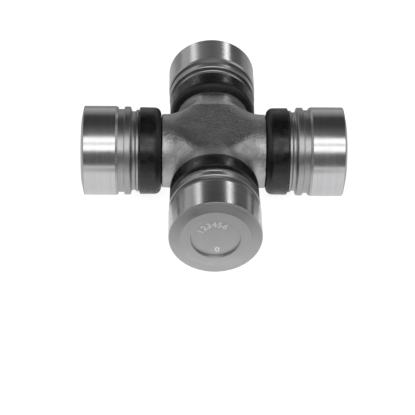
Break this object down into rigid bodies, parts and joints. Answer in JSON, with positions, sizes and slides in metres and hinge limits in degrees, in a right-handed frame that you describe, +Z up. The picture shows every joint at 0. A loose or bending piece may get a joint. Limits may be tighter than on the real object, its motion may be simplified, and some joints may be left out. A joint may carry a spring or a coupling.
{
  "type": "universal joint cross",
  "caption": "Universal joint cross: forged spider with a needle-bearing cup, clip groove and rubber boot on each arm.",
  "frame": {"origin": "where the two arm axes cross, the centre of the joint", "axes": "+X and +Y along the arms of the right and back cups, +Z up, square to both arms"},
  "size_m": [0.0886, 0.0886, 0.0302],
  "materials": {
    "forged_steel": "dark forged scale, ground journals",
    "cup_steel": "ground band, turned grooves",
    "roller_steel": "lapped",
    "washer_steel": "stamped",
    "washer_nylon": "moulded",
    "boot_rubber": "smooth moulded"
  },
  "bodies": {
    "spider": {"cross": "forged_steel"},
    "cup_assembly_right": {"bearing_cup_right": "cup_steel", "thrust_washer_right": "washer_nylon", "needle_stop_washer_right": "washer_steel", "boot_seal_right": "boot_rubber"},
    "needle_ring_right": {"needle_rollers_right": "roller_steel"},
    "cup_assembly_back": {"bearing_cup_back": "cup_steel", "thrust_washer_back": "washer_nylon", "needle_stop_washer_back": "washer_steel", "boot_seal_back": "boot_rubber"},
    "needle_ring_back": {"needle_rollers_back": "roller_steel"},
    "cup_assembly_left": {"bearing_cup_left": "cup_steel", "thrust_washer_left": "washer_nylon", "needle_stop_washer_left": "washer_steel", "boot_seal_left": "boot_rubber"},
    "needle_ring_left": {"needle_rollers_left": "roller_steel"},
    "cup_assembly_front": {"bearing_cup_front": "cup_steel", "thrust_washer_front": "washer_nylon", "needle_stop_washer_front": "washer_steel", "boot_seal_front": "boot_rubber"},
    "needle_ring_front": {"needle_rollers_front": "roller_steel"}
  },
  "joints": [
    {"name": "cup_turn_right", "type": "hinge", "parent": "spider", "child": "cup_assembly_right", "pos_m": [0.033, 0, 0], "axis": [1, 0, 0], "continuous": true},
    {"name": "needle_roll_right", "type": "hinge", "parent": "spider", "child": "needle_ring_right", "pos_m": [0.033, 0, 0], "axis": [1, 0, 0], "continuous": true},
    {"name": "cup_turn_back", "type": "hinge", "parent": "spider", "child": "cup_assembly_back", "pos_m": [0, 0.033, 0], "axis": [0, 1, 0], "continuous": true},
    {"name": "needle_roll_back", "type": "hinge", "parent": "spider", "child": "needle_ring_back", "pos_m": [0, 0.033, 0], "axis": [0, 1, 0], "continuous": true},
    {"name": "cup_turn_left", "type": "hinge", "parent": "spider", "child": "cup_assembly_left", "pos_m": [-0.033, 0, 0], "axis": [-1, 0, 0], "continuous": true},
    {"name": "needle_roll_left", "type": "hinge", "parent": "spider", "child": "needle_ring_left", "pos_m": [-0.033, 0, 0], "axis": [-1, 0, 0], "continuous": true},
    {"name": "cup_turn_front", "type": "hinge", "parent": "spider", "child": "cup_assembly_front", "pos_m": [0, -0.033, 0], "axis": [0, -1, 0], "continuous": true},
    {"name": "needle_roll_front", "type": "hinge", "parent": "spider", "child": "needle_ring_front", "pos_m": [0, -0.033, 0], "axis": [0, -1, 0], "continuous": true}
  ],
  "couplings": [
    {"joint": "needle_roll_right", "follows": "cup_turn_right", "ratio": 0.55666},
    {"joint": "needle_roll_back", "follows": "cup_turn_back", "ratio": 0.55666},
    {"joint": "needle_roll_left", "follows": "cup_turn_left", "ratio": 0.55666},
    {"joint": "needle_roll_front", "follows": "cup_turn_front", "ratio": 0.55666}
  ]
}
